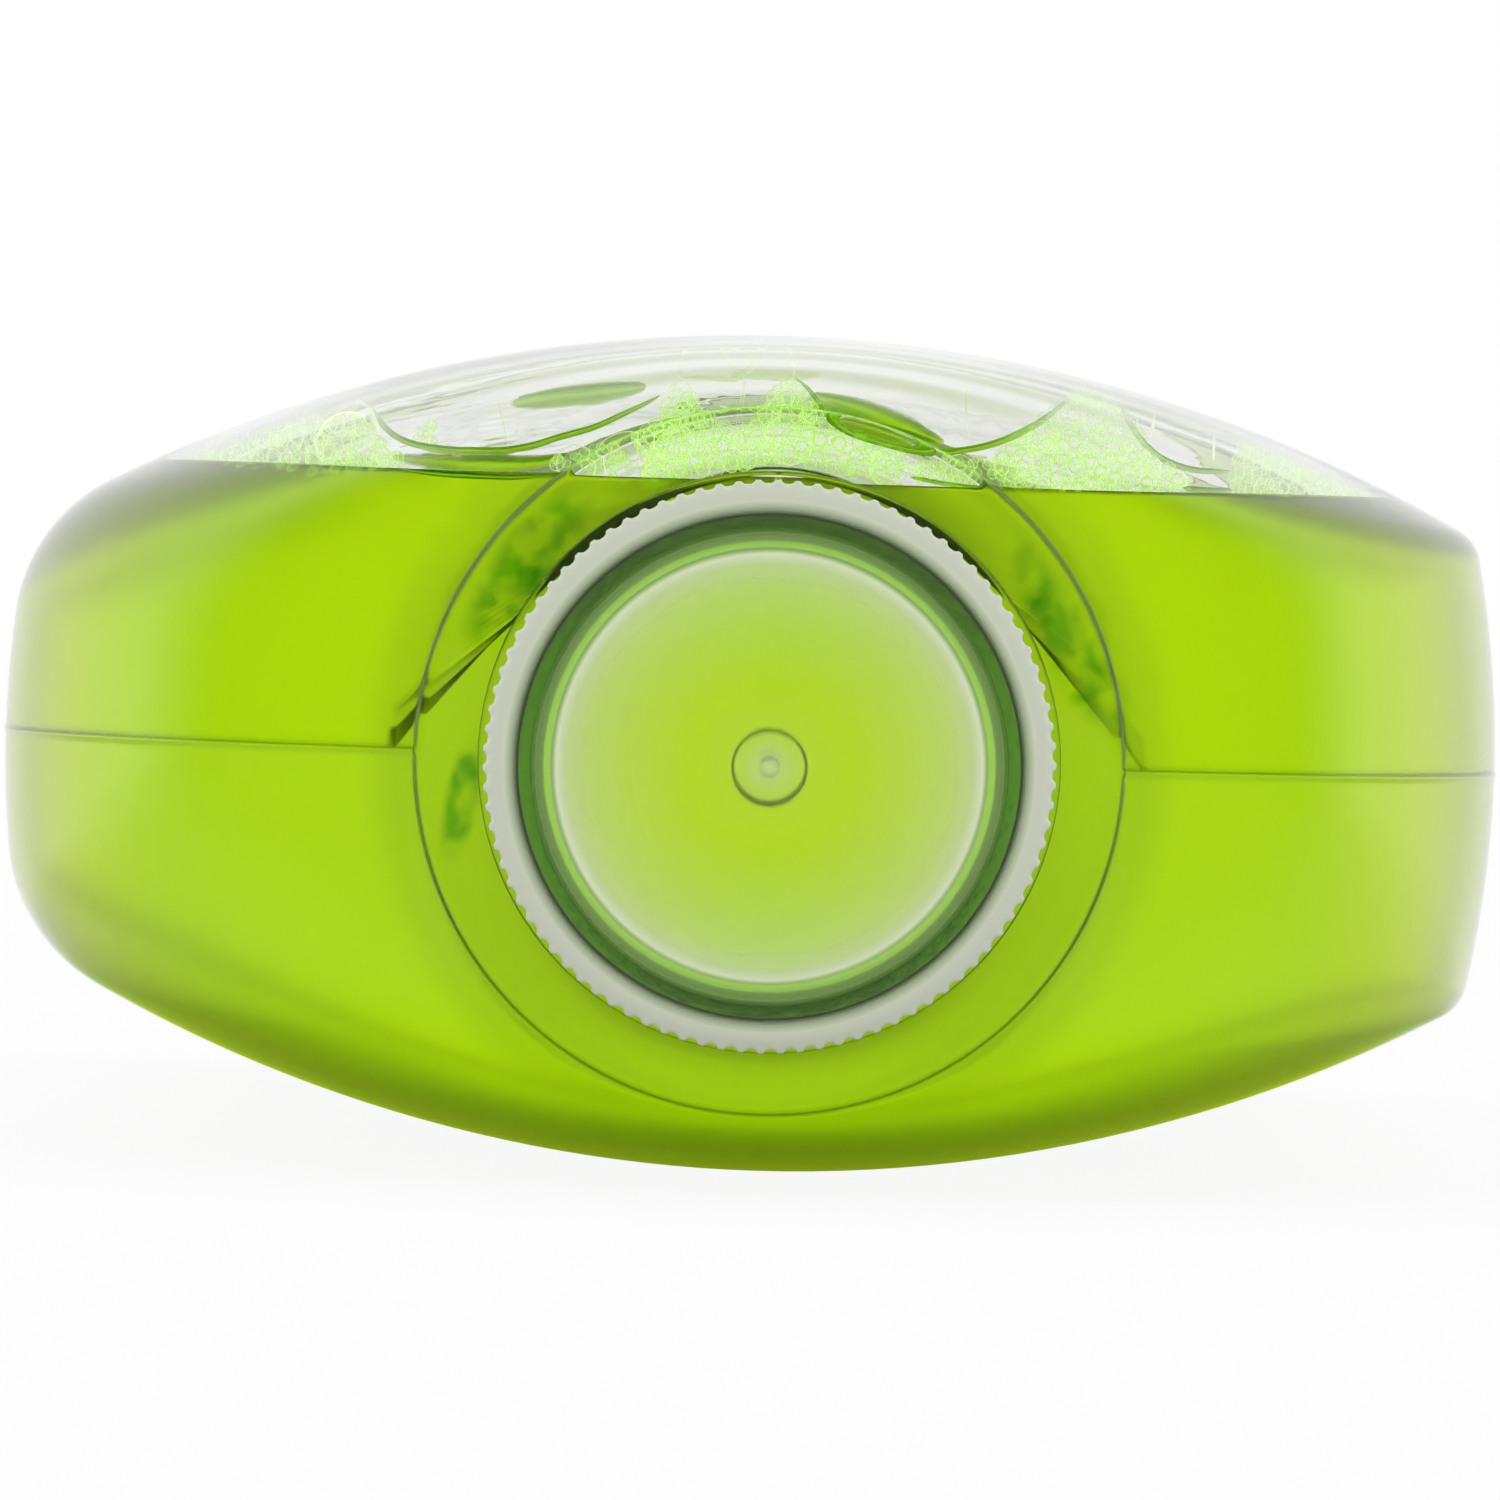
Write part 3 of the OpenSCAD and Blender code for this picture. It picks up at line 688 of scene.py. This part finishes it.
# Large bubbles as the photograph shows them: pixel across and down, radius in pixels
BUBBLES = [(349, 444, 32), (577, 466, 18), (625, 460, 22), (673, 441, 20), (790, 437, 25), (846, 447, 10),
           (888, 467, 18), (1011, 466, 20), (1041, 440, 15), (1118, 452, 12), (1138, 473, 20), (958, 472, 13),
           (390, 462, 11), (292, 440, 14), (300, 461, 12), (262, 455, 11), (232, 460, 9), (1100, 396, 12),
           (1077, 409, 7), (1265, 495, 14), (1310, 499, 9), (1175, 485, 9), (1105, 487, 9), (1081, 488, 8),
           (1060, 488, 8), (926, 470, 9), (1235, 491, 8), (700, 452, 10), (716, 468, 8), (655, 472, 9),
           (560, 467, 8), (210, 463, 6), (195, 461, 6), (768, 447, 8), (1290, 499, 7), (1335, 501, 7),
           (1070, 386, 6), (1113, 411, 8), (810, 415, 8), (776, 410, 7), (745, 441, 11), (1090, 430, 9)]
# Froth: the outline of each hill in pixels, how many bubbles it has, and their radii in pixels
HILLS = [([(640, 488), (642, 440), (664, 415), (676, 396), (690, 400), (706, 418), (740, 434), (756, 418),
           (776, 398), (791, 388), (806, 400), (822, 419), (846, 437), (880, 447), (908, 457), (906, 476),
           (870, 476), (830, 466), (790, 461), (720, 464), (680, 478)], 330, 2.4, 8.0),
         ([(990, 464), (1030, 434), (1060, 410), (1078, 398), (1112, 400), (1126, 418), (1140, 446),
           (1166, 472), (1190, 482), (1184, 496), (1000, 493)], 300, 2.2, 7.5),
         ([(1228, 470), (1244, 440), (1270, 433), (1330, 459), (1392, 490), (1380, 500), (1330, 506),
           (1256, 502), (1230, 494)], 260, 1.8, 6.0),
         ([(189, 456), (233, 441), (274, 423), (310, 410), (330, 424), (352, 412), (382, 440), (402, 462),
           (382, 474), (316, 480), (240, 474), (194, 466)], 240, 2.2, 7.5),
         ([(415, 446), (424, 428), (438, 422), (436, 446)], 16, 2.0, 4.5),
         ([(910, 462), (990, 462), (1000, 484), (912, 478)], 36, 2.0, 6.0),
         ([(636, 480), (550, 470), (556, 456), (640, 444)], 26, 2.0, 6.0),
         ([(1066, 404), (1070, 372), (1082, 366), (1120, 408), (1098, 412)], 30, 1.8, 5.0)]
# Edges of the films: radius in mm and path in pixels. The thick ones are borders full of cleaner.
EDGES = [(0.13, [(689, 348), (685, 354), (682, 370), (681, 386)]),
         (0.14, [(681, 384), (673, 393), (665, 405), (661, 418)]),
         (0.14, [(681, 384), (691, 396), (701, 410), (718, 424), (739, 430)]),
         (0.12, [(720, 352), (724, 361), (732, 376), (745, 384)]),
         (0.12, [(768, 352), (763, 364), (755, 376), (745, 384)]),
         (0.14, [(745, 383), (745, 397), (742, 412), (736, 428)]),
         (0.13, [(785, 348), (791, 357), (794, 371), (794, 386)]),
         (0.14, [(794, 385), (780, 396), (770, 407), (759, 418)]),
         (0.10, [(720, 352), (730, 357), (742, 356)]),
         (0.10, [(768, 352), (757, 358), (748, 366), (745, 383)]),
         (0.10, [(500, 409), (506, 424), (507, 440), (510, 451)]),
         (0.10, [(436, 424), (432, 436), (431, 450)]), (0.10, [(490, 408), (500, 406), (512, 404)]),
         (0.13, [(316, 430), (332, 419), (349, 409), (363, 404), (373, 413), (380, 428), (382, 442)]),
         (0.11, [(1154, 412), (1152, 428), (1147, 446)]), (0.10, [(1212, 437), (1211, 454), (1211, 468)]),
         (0.11, [(1103, 384), (1111, 395), (1108, 408), (1098, 414)]),
         (0.11, [(1082, 380), (1079, 392), (1082, 404)]), (0.10, [(1072, 384), (1070, 396), (1076, 406)]),
         (0.10, [(966, 392), (963, 410), (966, 436), (972, 448)])]
BORDERS = [(0.24, [(363, 403), (374, 413), (383, 430), (396, 442), (416, 450), (449, 454), (502, 454),
                   (531, 450), (555, 442), (577, 436), (597, 431), (612, 424), (628, 417), (648, 409),
                   (662, 402)]),
           (0.20, [(399, 473), (440, 477), (490, 479), (523, 480), (548, 477)]),
           (0.24, [(794, 386), (807, 394), (821, 413), (845, 432), (880, 443), (912, 451), (942, 455),
                   (973, 452), (1001, 445), (1028, 434), (1049, 421), (1063, 408), (1073, 402)]),
           (0.22, [(1116, 405), (1124, 423), (1135, 443), (1153, 461), (1175, 472), (1201, 477), (1228, 477)]),
           (0.18, [(1180, 492), (1205, 495), (1230, 495)]), (0.16, [(910, 477), (945, 484), (985, 489)])]
# Cleaner that clings to the wall
DROPS = [(0.85, [(394, 461), (440, 466), (500, 467), (545, 464), (572, 457)]),
         (1.05, [(512, 411), (560, 403), (610, 398), (650, 394)]),
         (1.25, [(806, 404), (850, 416), (895, 432), (944, 448)])]

turned = np.array(view.to_matrix())


def pixels_of(points):
    """Where the picture shows points, in its pixels: the opposite of seen_at."""
    eye = (points - np.array(EYE)) @ turned
    return PICTURE / 2 + FOCUS * np.stack([-eye[:, 0], eye[:, 1]], -1) / eye[:, 2:]


SHOULDER_ROWS = slice(22, 75)                              # rows of the skin that the shoulder takes up
skin = blown_rows(1)
OUTLINE = pixels_of(skin[SHOULDER_ROWS.start:].reshape(-1, 3))
ACROSS = np.arange(0, PICTURE, 4)
TOPS = np.array([OUTLINE[np.abs(OUTLINE[:, 0] - x) < 14, 1].min(initial=PICTURE) for x in ACROSS])
WALL_SPOTS = (skin - (WALL_T + 0.15) * facing(skin))[SHOULDER_ROWS].reshape(-1, 3)
WALL_SPOTS = WALL_SPOTS[WALL_SPOTS[:, 2] > 46]             # the part over the foam's foot


def leaning(spots, reach):
    """Centres of things of radius reach that the picture shows at those pixels, and that lean against the
    inside of the shoulder: the depth y there is the mean of the four nearest points of the wall as the
    picture shows them, and 1.2 times the radius is added to it. What would show through the outline's
    top is moved down to 0.9 mm and its radius below it."""
    spots = np.array(spots, float)
    room = np.interp(spots[:, 0], ACROSS, TOPS) + (0.9 + np.asarray(reach)) / PIXEL
    spots[:, 1] = np.maximum(spots[:, 1], room)
    shown = pixels_of(WALL_SPOTS)
    far = ((spots[:, None] - shown[None]) ** 2).sum(-1)
    near = np.argsort(far, axis=1)[:, :4]
    weight = 1 / (np.take_along_axis(far, near, 1) + 4)
    y = (WALL_SPOTS[near][..., 1] * weight).sum(1) / weight.sum(1) + 1.2 * np.asarray(reach)
    ray = np.stack([(spots[:, 0] - PICTURE / 2) / FOCUS, (PICTURE / 2 - spots[:, 1]) / FOCUS,
                    -np.ones(len(spots))], -1) @ turned.T
    return np.array(EYE) + ray * ((y - EYE.y) / ray[:, 1])[:, None]


def within(outline, spots):
    """Whether spots lie in an outline: a line to the right of each crosses an odd number of its sides."""
    a = np.array(outline, float)
    b = np.roll(a, -1, 0)
    x, y = spots[:, :1], spots[:, 1:]
    high = (a[:, 1] > y) != (b[:, 1] > y)
    at = a[:, 0] + (y - a[:, 1]) * (b[:, 0] - a[:, 0]) / (b[:, 1] - a[:, 1] + 1e-9)
    return (high & (x < at)).sum(1) % 2 == 1


def froth(seed):
    """Places, radii and layers of the small bubbles: those of each hill are drawn at random, large ones
    first, and one stays where it keeps three quarters of the radii's sum from those before it in its
    layer. Small bubbles are many, since the radius falls with the cube of the draw."""
    rng = np.random.default_rng(seed)
    spots, radii, layers = [], [], []
    for outline, count, least, most in HILLS:
        low, high = np.min(outline, 0), np.max(outline, 0)
        draw = rng.uniform(low, high, (count * 16, 2))
        draw = draw[within(outline, draw)][:count * 5]
        size = np.sort(least + (most - least) * rng.uniform(0, 1, len(draw)) ** 3)[::-1]
        layer = rng.integers(0, 2, len(draw))
        kept = []
        for i in range(len(draw)):
            apart = 0.75 * (size[kept] + size[i]) * (layer[kept] == layer[i])
            gap = np.hypot(*(draw[kept] - draw[i]).T) - apart
            if len(kept) < count and (gap > 0).all():
                kept.append(i)
        spots.append(draw[kept])
        radii.append(size[kept])
        layers.append(layer[kept])
    return np.concatenate(spots), np.concatenate(radii), np.concatenate(layers)


def cords(name, lines, material, blunt=5):
    """One mesh of round cords of eight sides, each carried along a path that is smoothed four times,
    leans against the wall and is smoothed six times more there. Its radius at the share u of the way is
    radius sqrt(1 - |2u - 1| ** blunt)."""
    points, faces = [], []
    for radius, spots in lines:
        spots = np.array(spots, float)
        s = np.concatenate([[0], np.cumsum(np.hypot(*np.diff(spots, axis=0).T))])
        t = np.linspace(0, s[-1], max(8, int(s[-1] / 4)))
        path = np.stack([np.interp(t, s, spots[:, k]) for k in (0, 1)], -1)
        for _ in range(4):
            path[1:-1] = (path[:-2] + 2 * path[1:-1] + path[2:]) / 4
        path = leaning(path, radius)
        for _ in range(6):
            path[1:-1] = (path[:-2] + 2 * path[1:-1] + path[2:]) / 4
        along = np.gradient(path, axis=0)
        across = np.cross(along, [0, 1, 0])
        across /= np.linalg.norm(across, axis=1, keepdims=True)
        up = np.cross(across, along)
        up /= np.linalg.norm(up, axis=1, keepdims=True)
        size = radius * np.sqrt(1 - np.abs(np.linspace(-1, 1, len(t))) ** blunt)
        a = np.linspace(0, 2 * np.pi, 8, endpoint=False)[None, :, None]
        ring = path[:, None] + size[:, None, None] * (np.cos(a) * across[:, None] + np.sin(a) * up[:, None])
        faces.append(woven(len(t), 8, first=sum(map(len, points))))
        points.append(ring.reshape(-1, 3))
    return made(name, np.concatenate(points), np.concatenate(faces), material)


PIXEL = 0.0745                                             # millimetres of a pixel at the shoulder's depth
film = soap_film()
large = np.array(BUBBLES, float)
large[:, 2] *= PIXEL
spots, radii, layers = froth(11)
radii = radii * PIXEL
small = leaning(spots, radii + 0.9 * layers)
pieces = [clustered("foam_bubbles", leaning(large[:, :2], large[:, 2]), large[:, 2], 17, 24, film),
          clustered("foam_froth", small, radii, 6, 8, wet_froth()),
          cords("film_edges", EDGES, film), cords("film_borders", BORDERS, wet_border()),
          cords("clinging_drops", DROPS, clinging_cleaner(), blunt=1.6)]
for piece in pieces:
    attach(piece, "filled_bottle")
    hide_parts("foam")
    piece.visible_shadow = False                     # the shell around the foam casts the shadow already


# Floor and world
def floor_finish():
    """Plain white floor: it shows to the camera and through glass as white, with a trace of shadow. Under
    the bottle it is painted lime green to all rays but the camera's: a painted pool of the light that the
    cleaner passes on, which shows through the cleaner."""
    material, tree, out = finish_of("plain_white_floor")
    ray = add(tree, "ShaderNodeLightPath")
    seen = reckoned(tree, "MAXIMUM", ray.outputs["Is Camera Ray"], ray.outputs["Is Glossy Ray"])
    seen = reckoned(tree, "MAXIMUM", seen, ray.outputs["Is Transmission Ray"])
    matt = add(tree, "ShaderNodeBsdfDiffuse", {"Color": linear("#f4f4f4")})
    place = add(tree, "ShaderNodeTexCoord").outputs["Object"]
    axes = add(tree, "ShaderNodeSeparateXYZ", {0: place})
    behind = eased(tree, axes.outputs["Y"], -0.2, 0.15, 0.06, 1.0)
    mirrored = reckoned(tree, "GREATER_THAN", ray.outputs["Glossy Depth"], 0.5)
    strength = add(tree, "ShaderNodeMix", {0: mirrored, 2: 1.0, 3: behind})
    under = add(tree, "ShaderNodeMapping", {"Vector": place, "Scale": (1 / 0.062, 1 / 0.125, 0)})
    away = add(tree, "ShaderNodeVectorMath", {0: under.outputs[0]}, operation="LENGTH")
    unseen = reckoned(tree, "SUBTRACT", 1.0, ray.outputs["Is Camera Ray"])
    # Painted light: a lime pool on the floor under the bottle, which the camera doesn't see directly
    glow = reckoned(tree, "MULTIPLY", eased(tree, away.outputs["Value"], 0.8, 1.3, 1.0, 0.0), unseen)
    painted_lime_pool = blended(tree, glow, (1, 1, 1, 1), linear("#c8f028"))
    white = add(tree, "ShaderNodeEmission", {"Color": painted_lime_pool, "Strength": strength.outputs[0]})
    mixed = add(tree, "ShaderNodeMixShader", {0: reckoned(tree, "MULTIPLY", seen, 0.92), 1: matt.outputs[0],
                                              2: white.outputs[0]})
    tree.links.new(mixed.outputs[0], out.inputs["Surface"])
    return material


angle = np.linspace(0, 2 * np.pi, 96, endpoint=False)
floor = made("floor", np.stack([4000 * np.cos(angle), 4000 * np.sin(angle), 0 * angle], -1),
             [np.arange(96)], floor_finish())

world = bpy.data.worlds.new("studio")
bpy.context.scene.world = world
world.use_nodes = True
sky = world.node_tree
sky.nodes.clear()
ray = add(sky, "ShaderNodeLightPath")
way = add(sky, "ShaderNodeTexCoord")
axes = add(sky, "ShaderNodeSeparateXYZ", {0: way.outputs["Generated"]})
band = eased(sky, reckoned(sky, "ABSOLUTE", axes.outputs["Z"]), 0.35, 0.85, 1.0, 0.85)
behind = eased(sky, axes.outputs["Y"], -0.3, 0.3, 0.16, 1.0)
mirrored = reckoned(sky, "GREATER_THAN", ray.outputs["Glossy Depth"], 0.5)
room = add(sky, "ShaderNodeMix", {0: mirrored, 2: 1.0, 3: behind}).outputs[0]
lit = reckoned(sky, "MULTIPLY", band, room)
mirror = reckoned(sky, "MAXIMUM", ray.outputs["Is Glossy Ray"], ray.outputs["Is Transmission Ray"])
soft = add(sky, "ShaderNodeMix", {0: mirror, 2: 0.95, 3: lit})
seen = add(sky, "ShaderNodeMix", {0: ray.outputs["Is Camera Ray"], 2: soft.outputs[0], 3: 1.0})
glow = reckoned(sky, "MULTIPLY", reckoned(sky, "SUBTRACT", 1.0, room), mirror)
tone = blended(sky, glow, (1, 1, 1, 1), linear("#7fe02a"))
light = add(sky, "ShaderNodeBackground", {"Color": tone, "Strength": seen.outputs[0]})
add(sky, "ShaderNodeOutputWorld", {"Surface": light.outputs[0]})

# The studio's soft light comes from the world alone: lamps would show as hard squares in the clear walls
scene = bpy.context.scene
scene.view_settings.view_transform = "Standard"
world.cycles.sampling_method = "NONE"
scene.cycles.max_bounces = 8
scene.cycles.transmission_bounces = 8
scene.cycles.transparent_max_bounces = 10
scene.cycles.glossy_bounces = 3
scene.cycles.diffuse_bounces = 2
